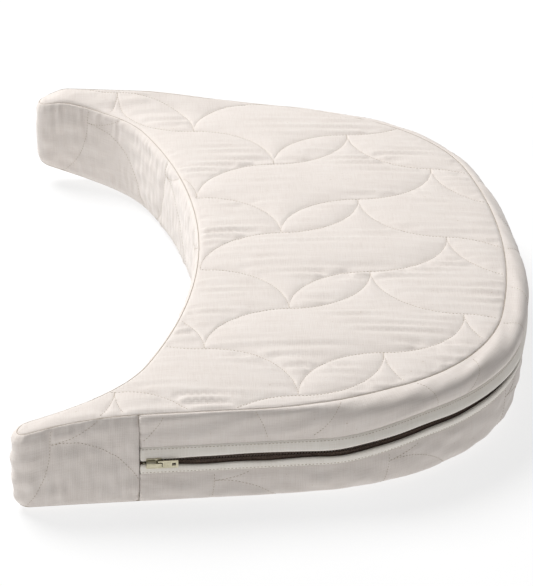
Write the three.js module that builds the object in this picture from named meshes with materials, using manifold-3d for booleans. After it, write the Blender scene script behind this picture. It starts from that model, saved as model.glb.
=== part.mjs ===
// A crescent nursing pillow: a flat foam core in an inner liner, inside a quilted cotton cover.
// The cover has a top and a bottom panel and a side wall. The side wall is one quilted border
// round the tips and the hollow side, and on the back two bands with a coil zip between them.
//
// Millimetres, +Z up. The pillow lies on Z = 0 with its outline centred on the Z axis. The hollow
// that takes the waist opens towards -X, the back is towards +X and the tips lie at -Y and +Y.
// Inset means the distance inwards from the outer face of the side wall, so negative is outside.

import * as THREE from 'three';
import { mergeVertices } from 'three/addons/utils/BufferGeometryUtils.js';
import Module from 'manifold-3d';

// ---- driving dimensions: the outline ----
const LENGTH = 680;            // tip to tip, along Y
const DEPTH = 474;             // back to tips, along X
const MIDDLE_WIDTH = 312;      // back to hollow, on the X axis
const THICKNESS = 94;
const BACK_RADIUS = 700;
const SHOULDER_RADIUS = 210;
const SHOULDER_SETBACK = 20;   // how far the shoulder's crest lies inside the tip's, along Y
const TIP_RADIUS = 13;
const HOLLOW_RADIUS = 610;     // the wide middle arc of the hollow side
const HOLLOW_ANGLE = 0.406;    // half the angle of that arc, in radians

// ---- driving dimensions: the layers of the cover and of the core ----
const CLOTH = 0.9;             // quilted face cloth
const WADDING = 3;
const LINING = 0.6;
const LINER = 0.6;             // plain cotton liner of the foam core
const GAP = 0.3;               // clearance between one piece and the next

// ---- driving dimensions: the zip and its facings ----
const SEAM_FROM_TIP = 107;     // along X, from a tip's end to the seam where the zip border starts
const ZIP_HEIGHT = 46;         // centre line of the zip above the underside
const ZIP_RISE = 11;           // how much higher the zip lies round the back
const RISE_TURN = 0.5;         // the turn of the shoulder over which it rises, in radians
const ZIP_OPENING = 4.6;       // between the two facings
const UPPER_FACING = 12.5;     // width of each folded strip
const LOWER_FACING = 9;
const FACING_THICKNESS = 1.5;
const FACING_PROUD = 1.2;      // how far a facing stands out of the wall
const TAPE_THICKNESS = 0.6;
const COIL_THICKNESS = 1.2;
const COIL_WIDTH = 2.4;        // one half of the coil
const CHAIN_SLOT = 1.6;        // slot between the two coils, which the slider's neck runs in
const STOP_LENGTH = 2.5;
const STOP_FROM_SEAM = 3;      // along the zip, from the seam to the top stops
const SLIDER_LENGTH = 13;
const SLIDER_WIDTH = 9.6;
const TOP_PLATE = 1.4;
const BOTTOM_PLATE = 1;
const NECK_LENGTH = 3;
const CROWN_WIDTH = 6.6;
const CROWN_HEIGHT = 3;
const BOW_WIDTH = 3.2;         // narrow end of the crown, which the puller's eye loops round
const BOW_LENGTH = 5.4;
const PULLER_WIDTH = 7;
const PULLER_LENGTH = 17;      // from its pivot
const PULLER_THICKNESS = 1.1;
const PULLER_SLOT = [3.5, 2.6]; // length and height of the slot near the puller's end
const PULLER_SLOT_MARGIN = 2;  // from the slot to the puller's end
const PIVOT_RADIUS = 0.55;
const PIVOT_CLEARANCE = 0.5;   // round the pivot bar, inside the bow

// ---- levels and insets that follow from the above ----
const waddingInset = CLOTH + GAP;
const liningInset = waddingInset + WADDING + GAP;
const linerInset = liningInset + LINING + GAP;
const coreInset = linerInset + LINER + GAP;
const upperFacingBottom = ZIP_HEIGHT + ZIP_OPENING / 2;
const upperFacingTop = upperFacingBottom + UPPER_FACING;
const lowerFacingTop = ZIP_HEIGHT - ZIP_OPENING / 2;
const lowerFacingBottom = lowerFacingTop - LOWER_FACING;
const facingInset = FACING_THICKNESS - FACING_PROUD;
const coilInset = facingInset + GAP;
const tapeInset = coilInset + COIL_THICKNESS + GAP;
const tapeReach = ZIP_OPENING / 2 + Math.min(UPPER_FACING, LOWER_FACING);
const coilReach = CHAIN_SLOT / 2 + COIL_WIDTH;
const neckReach = CHAIN_SLOT / 2 - GAP;

// ---- the outline: arcs tangent to one another, on the far half (Y > 0) ----
const polar = (centre, radius, angle) =>
  new THREE.Vector2(centre.x + radius * Math.cos(angle), centre.y + radius * Math.sin(angle));

const backCentre = new THREE.Vector2(DEPTH / 2 - BACK_RADIUS, 0);
const shoulderY = LENGTH / 2 - SHOULDER_SETBACK - SHOULDER_RADIUS;
const shoulderCentre = new THREE.Vector2(
  backCentre.x + Math.sqrt((BACK_RADIUS - SHOULDER_RADIUS) ** 2 - shoulderY ** 2), shoulderY);
const tipCentre = new THREE.Vector2(TIP_RADIUS - DEPTH / 2, LENGTH / 2 - TIP_RADIUS);
const hollowCentre = new THREE.Vector2(DEPTH / 2 - MIDDLE_WIDTH - HOLLOW_RADIUS, 0);

// The flank is the straight line that touches the shoulder and the tip.
const shoulderToTip = tipCentre.clone().sub(shoulderCentre);
const flankNormal = shoulderToTip.angle()
  - Math.acos((SHOULDER_RADIUS - TIP_RADIUS) / shoulderToTip.length());

// Each side of the hollow is the arc that leaves the middle arc smoothly and touches the tip.
const hollowEnd = polar(hollowCentre, HOLLOW_RADIUS, HOLLOW_ANGLE);
const endToTip = tipCentre.clone().sub(hollowEnd);
const sideReach = endToTip.dot(polar(new THREE.Vector2(), 1, HOLLOW_ANGLE));
const sideRadius = (endToTip.lengthSq() - TIP_RADIUS ** 2) / (2 * (TIP_RADIUS - sideReach));
const sideCentre = polar(hollowEnd, -sideRadius, HOLLOW_ANGLE);
const sideAngle = tipCentre.clone().sub(sideCentre).angle();

const backAngle = shoulderCentre.clone().sub(backCentre).angle();
const seamX = SEAM_FROM_TIP - DEPTH / 2;

function arc(centre, radius, from, to, steps) {
  const points = [];
  for (let i = 0; i <= steps; i++) {
    points.push(polar(centre, radius, from + (to - from) * i / steps));
  }
  return points;
}

const mirrored = (points) => points.map((p) => new THREE.Vector2(p.x, -p.y)).reverse();

function flankPoint(inset, x) {
  const touch = polar(tipCentre, TIP_RADIUS - inset, flankNormal);
  const slope = -1 / Math.tan(flankNormal);
  return new THREE.Vector2(x, touch.y + slope * (x - touch.x));
}

// The back of the pillow from the near seam to the far seam. Its ends stay on the seams.
function backPath(inset, clearance = 0) {
  const seam = flankPoint(inset, seamX + clearance);
  const shoulder = arc(shoulderCentre, SHOULDER_RADIUS - inset, flankNormal, backAngle, 9);
  const back = arc(backCentre, BACK_RADIUS - inset, -backAngle, backAngle, 6);
  const half = [seam, ...shoulder];
  return [...mirrored(half).reverse(), ...back.slice(1, -1), ...half.slice().reverse()];
}

// The rest of the side: far seam, far tip, hollow, near tip, near seam.
function hollowPath(inset, clearance = 0) {
  const seam = flankPoint(inset, seamX - clearance);
  const tip = arc(tipCentre, TIP_RADIUS - inset, flankNormal, sideAngle + Math.PI, 7);
  const side = arc(sideCentre, sideRadius + inset, sideAngle, HOLLOW_ANGLE, 8);
  const middle = arc(hollowCentre, HOLLOW_RADIUS + inset, HOLLOW_ANGLE, -HOLLOW_ANGLE, 8);
  const half = [seam, ...tip, ...side.slice(1)];
  return [...half, ...middle.slice(1, -1), ...mirrored(half)];
}

const outline = (inset) => [...backPath(inset), ...hollowPath(inset).slice(1, -1)];

// ---- making solids ----
function upright(shape, bottom, top) {
  const geometry = new THREE.ExtrudeGeometry(shape, { depth: top - bottom, bevelEnabled: false });
  return geometry.translate(0, 0, bottom);
}

const plate = (inset, bottom, top) => upright(new THREE.Shape(outline(inset)), bottom, top);

// Past the straight flanks the zip and the edges beside it rise, as the upper band rolls in.
const besideZip = [lowerFacingBottom - GAP, upperFacingTop + GAP];
function risen(point, z) {
  if (z < besideZip[0] - GAP || z > besideZip[1] + GAP) return z;
  const across = Math.abs(point.y) - shoulderY;
  const turned = flankNormal - Math.atan2(across, point.x - shoulderCentre.x);
  return z + ZIP_RISE * THREE.MathUtils.smoothstep(turned, 0, RISE_TURN);
}

// A strip of the side wall, with four corners at each point of its path.
function strip(path, outerInset, thickness, bottom, top) {
  const outer = path(outerInset, GAP / 2);
  const inner = path(outerInset + thickness, GAP / 2);
  const corners = outer.flatMap((p, i) => {
    const q = inner[i];
    return [[p, bottom], [p, top], [q, top], [q, bottom]].flatMap(
      ([at, z]) => [at.x, at.y, risen(at, z)]);
  });
  const end = 4 * (outer.length - 1);
  const triangles = [0, 1, 2, 0, 2, 3, end + 3, end + 2, end + 1, end + 3, end + 1, end];
  for (let i = 0; i < end; i += 4) {
    for (let k = 0; k < 4; k++) {
      const [a, b] = [i + k, i + (k + 1) % 4];
      triangles.push(a, a + 4, b + 4, a, b + 4, b);
    }
  }
  const geometry = new THREE.BufferGeometry();
  geometry.setAttribute('position', new THREE.Float32BufferAttribute(corners, 3));
  geometry.setIndex(triangles);
  geometry.computeVertexNormals();
  return geometry;
}

function box(x, y, z) {
  const geometry = new THREE.BoxGeometry(x[1] - x[0], y[1] - y[0], z[1] - z[0]);
  return geometry.translate((x[0] + x[1]) / 2, (y[0] + y[1]) / 2, (z[0] + z[1]) / 2);
}

const wasm = await Module();
wasm.setup();

function solid(geometry) {
  const bare = geometry.clone();
  bare.deleteAttribute('normal');
  bare.deleteAttribute('uv');
  const merged = mergeVertices(bare);
  const vertProperties = new Float32Array(merged.attributes.position.array);
  const triVerts = new Uint32Array(merged.index.array);
  return new wasm.Manifold(new wasm.Mesh({ numProp: 3, vertProperties, triVerts }));
}

function geometryOf(manifold) {
  const { vertProperties, triVerts } = manifold.getMesh();
  const geometry = new THREE.BufferGeometry();
  geometry.setAttribute('position', new THREE.BufferAttribute(vertProperties, 3));
  geometry.setIndex(new THREE.BufferAttribute(triVerts, 1));
  geometry.computeVertexNormals();
  return geometry;
}

const joined = (...pieces) => geometryOf(pieces.map(solid).reduce((sum, next) => sum.add(next)));
const cut = (piece, ...tools) =>
  geometryOf(tools.map(solid).reduce((rest, next) => rest.subtract(next), solid(piece)));

// ---- materials ----
const finish = (color, roughness, metalness = 0) =>
  () => new THREE.MeshStandardMaterial({ color, roughness, metalness });
const cottonCloth = finish('#ece5dd', 0.9);
const cottonWadding = finish('#f4f1ea', 1);
const cottonLining = finish('#efe9e0', 0.95);
const facingCloth = finish('#e2dbd2', 0.9);
const zipTape = finish('#6e5a4e', 0.8);
const nylonCoil = finish('#5b4639', 0.45);
const platedZinc = finish('#cfc9b0', 0.35, 0.8);
const latexFoam = finish('#f3ead2', 0.85);

const pillow = new THREE.Group();

function add(name, geometry, material, parent = pillow) {
  const mesh = new THREE.Mesh(geometry, material());
  mesh.name = name;
  parent.add(mesh);
  return mesh;
}

// ---- top and bottom panels: face cloth, wadding and lining, quilted together ----
const panelLayers = [
  { layer: 'cloth', inset: 0, thickness: CLOTH, material: cottonCloth },
  { layer: 'wadding', inset: waddingInset, thickness: WADDING, material: cottonWadding },
  { layer: 'lining', inset: liningInset, thickness: LINING, material: cottonLining },
];
for (const { layer, inset, thickness, material } of panelLayers) {
  const roof = THICKNESS - inset;
  add(`top_panel_${layer}`, plate(inset, roof - thickness, roof), material);
  add(`bottom_panel_${layer}`, plate(inset, inset, inset + thickness), material);
}

// ---- side wall, in the same three layers, between the panels ----
for (const { layer, inset, thickness, material } of panelLayers) {
  const floor = inset + thickness + GAP;
  const roof = THICKNESS - floor;
  const wall = (name, path, bottom, top) =>
    add(`${name}_${layer}`, strip(path, inset, thickness, bottom, top), material);
  wall('inner_border', hollowPath, floor, roof);
  wall('upper_band', backPath, upperFacingTop + GAP, roof);
  wall('lower_band', backPath, floor, lowerFacingBottom - GAP);
}

// ---- zip border: facings in front, tapes behind, coils between them ----
const zipStrip = (name, inset, thickness, bottom, top, material) =>
  add(name, strip(backPath, inset, thickness, bottom, top), material);
zipStrip('upper_zip_facing', -FACING_PROUD, FACING_THICKNESS, upperFacingBottom, upperFacingTop,
  facingCloth);
zipStrip('lower_zip_facing', -FACING_PROUD, FACING_THICKNESS, lowerFacingBottom, lowerFacingTop,
  facingCloth);
const halves = [{ half: 'upper', up: 1 }, { half: 'lower', up: -1 }];
const level = (up, near, far) => [ZIP_HEIGHT + up * near, ZIP_HEIGHT + up * far].sort((a, b) => a - b);

// Both coils stop short of the seams, where the stops sit.
const coilFromSeam = STOP_FROM_SEAM + STOP_LENGTH + GAP;
const coilPath = (inset) => backPath(inset, coilFromSeam * Math.sin(flankNormal));
for (const { half, up } of halves) {
  const tape = level(up, CHAIN_SLOT / 2, tapeReach);
  zipStrip(`${half}_zip_tape`, tapeInset, TAPE_THICKNESS, ...tape, zipTape);
  const coil = level(up, CHAIN_SLOT / 2, coilReach);
  add(`${half}_zip_coil`, strip(coilPath, coilInset, COIL_THICKNESS, ...coil), nylonCoil);
}

// ---- stops and slider ----
// In these groups X runs along the zip from its seam, Y is the inset and Z the height.
function zipEnd(side) {
  const group = new THREE.Group();
  const seam = flankPoint(0, seamX);
  group.position.set(seam.x, side * seam.y, 0);
  group.rotation.z = Math.PI / 2 + side * flankNormal;
  pillow.add(group);
  return group;
}
const closedEnd = zipEnd(-1);
const farEnd = zipEnd(1);

const stopX = [STOP_FROM_SEAM, STOP_FROM_SEAM + STOP_LENGTH];
const stopInset = [coilInset, coilInset + COIL_THICKNESS];
for (const { half, up } of halves) {
  const height = level(up, CHAIN_SLOT / 2, coilReach);
  add(`${half}_top_stop`, box(stopX, stopInset, height), platedZinc, closedEnd);
}
const bottomStopX = [-stopX[1], -stopX[0]];
add('bottom_stop', box(bottomStopX, stopInset, level(1, -coilReach, coilReach)), platedZinc, farEnd);

const sliderStart = coilFromSeam;
const sliderX = [sliderStart, sliderStart + SLIDER_LENGTH];
const sliderHeight = level(1, -SLIDER_WIDTH / 2, SLIDER_WIDTH / 2);
const topPlateInset = -FACING_PROUD - GAP;
const topPlate = [topPlateInset - TOP_PLATE, topPlateInset];
const bottomPlateInset = tapeInset + TAPE_THICKNESS + GAP;
const bottomPlate = [bottomPlateInset, bottomPlateInset + BOTTOM_PLATE];
add('slider_body', joined(
  box(sliderX, topPlate, sliderHeight),
  box([sliderX[0], sliderX[0] + NECK_LENGTH], [topPlate[0], bottomPlate[1]],
    level(1, -neckReach, neckReach)),
  box(sliderX, bottomPlate, sliderHeight),
), platedZinc, closedEnd);

// The crown is a barrel with a narrow bow at its trailing end, and the pivot bar runs in the bow.
const bowX = [sliderX[1] - BOW_LENGTH, sliderX[1]];
const crownInset = [topPlate[0] - GAP - CROWN_HEIGHT, topPlate[0] - GAP];
const pivotX = (bowX[0] + bowX[1]) / 2;
const pivotInset = (crownInset[0] + crownInset[1]) / 2;
const slotReach = PIVOT_RADIUS + PIVOT_CLEARANCE;
function crownBarrel() {
  const half = CROWN_WIDTH / 2;
  const middle = CROWN_HEIGHT / 2;
  const section = new THREE.Shape();
  section.moveTo(-half, 0);
  section.lineTo(-half, middle);
  section.absellipse(0, middle, half, middle, Math.PI, 0, true);
  section.lineTo(half, 0);
  const geometry = new THREE.ExtrudeGeometry(section,
    { depth: bowX[0] - sliderX[0] + GAP, bevelEnabled: false, curveSegments: 8 });
  geometry.applyMatrix4(new THREE.Matrix4().makeBasis(
    new THREE.Vector3(0, 0, 1), new THREE.Vector3(0, -1, 0), new THREE.Vector3(1, 0, 0)));
  return geometry.translate(sliderX[0], crownInset[1], ZIP_HEIGHT);
}
const bow = cut(
  box(bowX, crownInset, level(1, -BOW_WIDTH / 2, BOW_WIDTH / 2)),
  box([pivotX - slotReach, pivotX + slotReach], [pivotInset - slotReach, pivotInset + slotReach],
    level(1, -BOW_WIDTH, BOW_WIDTH)));
add('slider_crown', joined(crownBarrel(), bow), platedZinc, closedEnd);

// The puller's eye loops round the bow: a round bar is its pivot, and its plate hangs beyond.
const pullerX = [pivotX - PIVOT_RADIUS, pivotX + PULLER_LENGTH];
const pullerInset = [pivotInset - PULLER_THICKNESS / 2, pivotInset + PULLER_THICKNESS / 2];
const eyeX = [pivotX - PULLER_LENGTH, sliderX[1] + GAP + PIVOT_CLEARANCE];
const eyeHeight = BOW_WIDTH / 2 + GAP;
const pivotBar = new THREE.CylinderGeometry(PIVOT_RADIUS, PIVOT_RADIUS, PULLER_WIDTH, 16);
pivotBar.rotateX(Math.PI / 2).translate(pivotX, pivotInset, ZIP_HEIGHT);
const slotEnd = pullerX[1] - PULLER_SLOT_MARGIN;
const throughPuller = [pullerInset[0] - PULLER_THICKNESS, pullerInset[1] + PULLER_THICKNESS];
const pullerPlate = cut(
  box(pullerX, pullerInset, level(1, -PULLER_WIDTH / 2, PULLER_WIDTH / 2)),
  box(eyeX, throughPuller, level(1, -eyeHeight, eyeHeight)),
  box([slotEnd - PULLER_SLOT[0], slotEnd], throughPuller,
    level(1, -PULLER_SLOT[1] / 2, PULLER_SLOT[1] / 2)));
add('puller', joined(pullerPlate, pivotBar), platedZinc, closedEnd);

// ---- foam core in its liner ----
const linerTop = THICKNESS - linerInset;
add('core_liner_top', plate(linerInset, linerTop - LINER, linerTop), cottonLining);
add('core_liner_bottom', plate(linerInset, linerInset, linerInset + LINER), cottonLining);
const linerWall = new THREE.Shape(outline(linerInset));
linerWall.holes.push(new THREE.Path(outline(linerInset + LINER)));
add('core_liner_wall', upright(linerWall, coreInset, THICKNESS - coreInset), cottonLining);
add('foam_core', plate(coreInset, coreInset, THICKNESS - coreInset), latexFoam);

export default pillow;
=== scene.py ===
# A crescent nursing pillow: a foam core in a plain cotton liner, inside a quilted cotton cover
# that opens round the back with a coil zip. It is put together here from the inside outwards.
# Sizes are in millimetres and are multiplied by MM where a mesh is made.

import math
import bpy
import numpy as np
from mathutils import Matrix, Vector
from mathutils.bvhtree import BVHTree
from mathutils.geometry import delaunay_2d_cdt
from mathutils.kdtree import KDTree


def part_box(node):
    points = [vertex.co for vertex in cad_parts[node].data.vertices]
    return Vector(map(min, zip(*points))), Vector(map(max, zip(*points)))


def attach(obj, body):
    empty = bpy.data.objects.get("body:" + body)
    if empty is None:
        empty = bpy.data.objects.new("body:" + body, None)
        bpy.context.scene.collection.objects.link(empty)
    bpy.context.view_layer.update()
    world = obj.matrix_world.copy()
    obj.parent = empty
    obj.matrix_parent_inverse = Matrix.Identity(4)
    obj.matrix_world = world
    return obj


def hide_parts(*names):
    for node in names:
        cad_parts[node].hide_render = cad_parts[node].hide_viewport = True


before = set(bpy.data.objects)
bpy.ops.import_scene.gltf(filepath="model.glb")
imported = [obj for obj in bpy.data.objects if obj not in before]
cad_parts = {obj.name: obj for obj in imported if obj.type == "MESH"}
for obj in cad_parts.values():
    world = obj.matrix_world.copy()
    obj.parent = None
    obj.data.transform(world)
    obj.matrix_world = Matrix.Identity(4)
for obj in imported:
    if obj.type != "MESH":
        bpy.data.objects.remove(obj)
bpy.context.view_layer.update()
MM = 0.001

# ---- The foam core ----
# One block of latex foam cut to the crescent, with its long edges rubbed round by use.
# The crescent is drawn from arcs that touch: back, shoulders, straight flanks, tips, hollow.
panel_low, panel_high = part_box("top_panel_cloth")
LENGTH = (panel_high.y - panel_low.y) / MM
DEPTH = (panel_high.x - panel_low.x) / MM
MIDDLE_WIDTH = 312
BACK_RADIUS = 700
SHOULDER_RADIUS = 210
SHOULDER_SETBACK = 20
TIP_RADIUS = 13
HOLLOW_RADIUS = 610
HOLLOW_ANGLE = 0.406


def ray(angle):
    """The direction at this angle, as an arrow of length 1."""
    return np.array([math.cos(angle), math.sin(angle)])


def bow(centre, radius, start, end, outwards=1):
    """Points 1 mm apart on an arc, each with the direction that points out of the pillow."""
    angles = np.linspace(start, end, int(abs(end - start) * radius), endpoint=False)
    rays = np.c_[np.cos(angles), np.sin(angles)]
    return np.c_[centre + radius * rays, outwards * rays]


def crescent():
    """The outer face of the side wall, from the middle of the back round by the far side."""
    back = np.array([DEPTH / 2 - BACK_RADIUS, 0])
    shoulder_y = LENGTH / 2 - SHOULDER_SETBACK - SHOULDER_RADIUS
    reach = math.sqrt((BACK_RADIUS - SHOULDER_RADIUS) ** 2 - shoulder_y ** 2)
    shoulder = np.array([back[0] + reach, shoulder_y])
    tip = np.array([TIP_RADIUS - DEPTH / 2, LENGTH / 2 - TIP_RADIUS])
    hollow = np.array([DEPTH / 2 - MIDDLE_WIDTH - HOLLOW_RADIUS, 0])
    to_tip = tip - shoulder
    flank = math.atan2(to_tip[1], to_tip[0])
    flank -= math.acos((SHOULDER_RADIUS - TIP_RADIUS) / np.linalg.norm(to_tip))
    hollow_end = hollow + HOLLOW_RADIUS * ray(HOLLOW_ANGLE)
    gap = tip - hollow_end
    side_radius = (gap @ gap - TIP_RADIUS ** 2) / (2 * (TIP_RADIUS - gap @ ray(HOLLOW_ANGLE)))
    side = hollow_end - side_radius * ray(HOLLOW_ANGLE)
    side_angle = math.atan2(*(tip - side)[::-1])
    back_angle = math.atan2(*(shoulder - back)[::-1])
    ends = shoulder + SHOULDER_RADIUS * ray(flank), tip + TIP_RADIUS * ray(flank)
    share = np.linspace(0, 1, int(np.linalg.norm(ends[1] - ends[0])), endpoint=False)[:, None]
    straight = ends[0] * (1 - share) + ends[1] * share
    far = np.vstack([
        bow(back, BACK_RADIUS, 0, back_angle),
        bow(shoulder, SHOULDER_RADIUS, back_angle, flank),
        np.c_[straight, np.tile(ray(flank), (len(straight), 1))],
        bow(tip, TIP_RADIUS, flank, side_angle + math.pi),
        bow(side, side_radius, side_angle, HOLLOW_ANGLE, -1),
        bow(hollow, HOLLOW_RADIUS, HOLLOW_ANGLE, 0, -1),
    ])
    middle = np.array([[DEPTH / 2 - MIDDLE_WIDTH, 0, -1, 0]])
    return np.vstack([far, middle, far[::-1] * (1, -1, 1, -1)])


OUTLINE = crescent()
WALKED = np.r_[0, np.cumsum(np.linalg.norm(np.diff(OUTLINE[:, :2], axis=0), axis=1))]
ROUND = WALKED[-1]


def around(walk):
    """Where the outline is after walking this far from the middle of the back: x, y, out x, out y."""
    here = np.stack([np.interp(walk % ROUND, WALKED, column) for column in OUTLINE.T], -1)
    here[..., 2:] /= np.linalg.norm(here[..., 2:], axis=-1, keepdims=True)
    return here


def ease(t):
    """A smooth step from 0 to 1."""
    t = np.clip(t, 0, 1)
    return t * t * (3 - 2 * t)


SEAM_INSET = 3          # the top seam lies this far inside the wall
SEAM_INSET_BACK = 15    # and this much further where the back's wall rolls over
UNDER_INSET = 5         # the same two for the bottom seam
UNDER_INSET_BACK = 6
UNDER_INSET_TIP = -2.5  # at the tips it lies nearer the wall
TOP_SEAM = 91.6         # heights of the two seams
UNDER_SEAM = 4.4
TIP_START = -127        # the tips slacken beyond this place
TIP_RUN = 110           # and do so over this length
NEAR_DROOP = 17         # how far the near tip's top sinks
NEAR_LIFT = 1           # how far the near tip's underside comes up
FAR_LIFT = 21           # and the far tip's
FAR_HEAPED = 11         # the far arm's stuffing heaps up along its flank
HEAP_WIDTH = 45         # over this width
FLANK_SLOPE = 0.0812    # the flanks close in by this much for each mm towards the back


def fullness(x):
    """0 on the arms, 1 round the shoulders and the back, where the wall bulges."""
    return ease(x / 130 + 0.2)


def tip_reach(x):
    """0 up to the tips, 1 at their very ends."""
    return np.clip((TIP_START - x) / TIP_RUN, 0, 1) ** 2


def heaped(x, y):
    """The far arm's extra height: full at the flank behind the tip, none by the shoulder."""
    from_flank = LENGTH / 2 - FLANK_SLOPE * (x + DEPTH / 2 - TIP_RADIUS) - y
    along = ease((x + DEPTH / 2) / 34) * (1 - ease((x + 140) / 150))
    return FAR_HEAPED * along * (1 - ease(from_flank / HEAP_WIDTH)) * (y > 0)


def top_level(x, y):
    """The height of the top seam."""
    return TOP_SEAM + heaped(x, y) - NEAR_DROOP * tip_reach(x) * (y < 0)


def under_level(x, y):
    """The height of the bottom seam."""
    return UNDER_SEAM + tip_reach(x) * np.where(y < 0, NEAR_LIFT, FAR_LIFT)


def top_inset(x):
    """How far inside the wall the top seam lies."""
    return SEAM_INSET + SEAM_INSET_BACK * fullness(x)


def under_inset(x):
    """How far inside the wall the bottom seam lies."""
    return UNDER_INSET + UNDER_INSET_BACK * fullness(x) + UNDER_INSET_TIP * tip_reach(x)


def make(name, points, faces, cloth=None):
    """A smooth mesh from points in millimetres. cloth gives each point's place on the flat cloth."""
    mesh = bpy.data.meshes.new(name)
    mesh.from_pydata((np.asarray(points) * MM).tolist(), [], [tuple(map(int, f)) for f in faces])
    if cloth is not None:
        corners = np.zeros(len(mesh.loops), int)
        mesh.loops.foreach_get("vertex_index", corners)
        layer = mesh.uv_layers.new(name="cloth")
        layer.data.foreach_set("uv", (np.asarray(cloth) * MM)[corners].ravel())
    mesh.polygons.foreach_set("use_smooth", np.ones(len(mesh.polygons), bool))
    mesh.update()
    piece = bpy.data.objects.new(name, mesh)
    bpy.context.scene.collection.objects.link(piece)
    return piece


def baked(piece):
    """Replaces a piece's mesh with the one its modifiers make."""
    graph = bpy.context.evaluated_depsgraph_get()
    graph.update()
    mesh = bpy.data.meshes.new_from_object(
        piece.evaluated_get(graph), preserve_all_data_layers=True, depsgraph=graph)
    piece.modifiers.clear()
    piece.data = mesh


def strips(rows, columns, closed=False, start=0, flip=False):
    """Quads between the rows of a grid of points."""
    faces = []
    for r in range(rows - 1):
        for c in range(columns if closed else columns - 1):
            a = start + r * columns + c
            b = start + r * columns + (c + 1) % columns
            quad = (a, b, b + columns, a + columns)
            faces.append(quad[::-1] if flip else quad)
    return faces


def ring(walk, inset, level):
    """Points round the outline, this far inside it and this high."""
    here = around(walk)
    inset = np.broadcast_to(inset, walk.shape)
    level = np.broadcast_to(level, walk.shape)
    return np.c_[here[:, :2] - here[:, 2:] * inset[:, None], level]


def within(points, edge):
    """True for the points inside a closed line."""
    inside = np.zeros(len(points), bool)
    a, b = edge, np.roll(edge, -1, 0)
    for (ax, ay), (bx, by) in zip(a, b):
        if ay != by:
            crosses = (points[:, 1] < ay) != (points[:, 1] < by)
            inside ^= crosses & (points[:, 0] < (bx - ax) * (points[:, 1] - ay) / (by - ay) + ax)
    return inside


def tree_of(points):
    """A search tree of points by their first two coordinates."""
    tree = KDTree(len(points))
    for i, p in enumerate(points):
        tree.insert((p[0], p[1], 0), i)
    tree.balance()
    return tree


def distance(points, others):
    """How far each point is from the nearest of the others, by their first two coordinates."""
    tree = tree_of(others)
    return np.array([tree.find((p[0], p[1], 0))[2] for p in points])


def filled(edge, spacing, extra=None, room=0):
    """Flat triangles inside a closed line, on a triangular grid, and through any extra points.
    Returns the points, with the edge's first and in order, and the triangles."""
    low, high = edge.min(0), edge.max(0)
    row = spacing * math.sqrt(3) / 2
    grid = np.array([
        (x + (j % 2) * spacing / 2, y)
        for j, y in enumerate(np.arange(low[1], high[1], row))
        for x in np.arange(low[0], high[0], spacing)])
    grid = grid[within(grid, edge)]
    grid = grid[distance(grid, edge) > spacing * 0.55]
    parts = [edge]
    if extra is not None:
        extra = extra[within(extra, edge)]
        extra = extra[distance(extra, edge) > 1.2]
        grid = grid[distance(grid, extra) > room]
        parts.append(extra)
    points = np.vstack(parts + [grid])
    sides = [(i, (i + 1) % len(edge)) for i in range(len(edge))]
    made, _, faces, origins, _, _ = delaunay_2d_cdt([Vector(p) for p in points], sides, [], 1, 1e-5)
    place = {o: j for j, found in enumerate(origins) for o in found}
    order = [place[i] for i in range(len(edge))]
    rest = [j for j in range(len(made)) if j not in set(order)]
    index = {j: i for i, j in enumerate(order + rest)}
    flat = np.array([made[j][:] for j in order + rest])
    return flat, [tuple(index[j] for j in f) for f in faces]


COVER_SWELL = 2.5       # the cover stands about this far above its top seam
COVER_SAG = 4           # and about this far below its bottom seam
DEEPEST = 10            # on the arms a block's long edges lie no further in than this
DEEPEST_BACK = 20       # and at the back this much more


def rounded_block(name, clearance, corner, spacing):
    """A closed crescent this far inside the cover, with rounded long edges."""
    walk = np.arange(0, ROUND, 6.0)
    here = around(walk)
    x, y = here[:, 0], here[:, 1]
    roof = top_level(x, y) + COVER_SWELL - clearance
    floor = np.maximum(under_level(x, y) - COVER_SAG + clearance, clearance)
    deepest = DEEPEST + DEEPEST_BACK * fullness(x)
    turns = np.linspace(0, math.pi / 2, 6)
    rows = []
    for turn in turns:
        depth = top_inset(x) * (1 - math.sin(turn)) + clearance + corner * (1 - math.sin(turn))
        rows.append(ring(walk, np.minimum(depth, deepest), roof - corner * (1 - math.cos(turn))))
    for turn in turns[::-1]:
        depth = under_inset(x) * (1 - math.sin(turn)) + clearance + corner * (1 - math.sin(turn))
        rows.append(ring(walk, np.minimum(depth, deepest), floor + corner * (1 - math.cos(turn))))
    points = list(np.vstack(rows))
    faces = strips(len(rows), len(walk), closed=True, flip=True)
    for row, up in ((0, True), (len(rows) - 1, False)):
        flat, triangles = filled(rows[row][:, :2], spacing)
        inner = flat[len(walk):]
        level = top_level if up else under_level
        shift = COVER_SWELL - clearance if up else clearance - COVER_SAG
        heights = level(inner[:, 0], inner[:, 1]) + shift
        index = list(range(row * len(walk), (row + 1) * len(walk)))
        index += list(range(len(points), len(points) + len(inner)))
        points += list(np.c_[inner, heights if up else np.maximum(heights, clearance)])
        for a, b, c in triangles:
            faces.append((index[a], index[b], index[c]) if up else (index[c], index[b], index[a]))
    points = np.array(points)
    return make(name, points, faces, points[:, :2])


def linear(code):
    """An sRGB hex colour as linear red, green, blue and alpha."""
    parts = [int(code[i:i + 2], 16) / 255 for i in (1, 3, 5)]
    return [p / 12.92 if p <= 0.04045 else ((p + 0.055) / 1.055) ** 2.4 for p in parts] + [1]


def add(tree, kind, inputs=None, **settings):
    """Adds a node, with its settings, and with a value or a link for each input named."""
    made = tree.nodes.new(kind)
    for name, value in settings.items():
        setattr(made, name, value)
    for name, value in (inputs or {}).items():
        if isinstance(value, bpy.types.NodeSocket):
            tree.links.new(value, made.inputs[name])
        else:
            made.inputs[name].default_value = value
    return made


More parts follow.
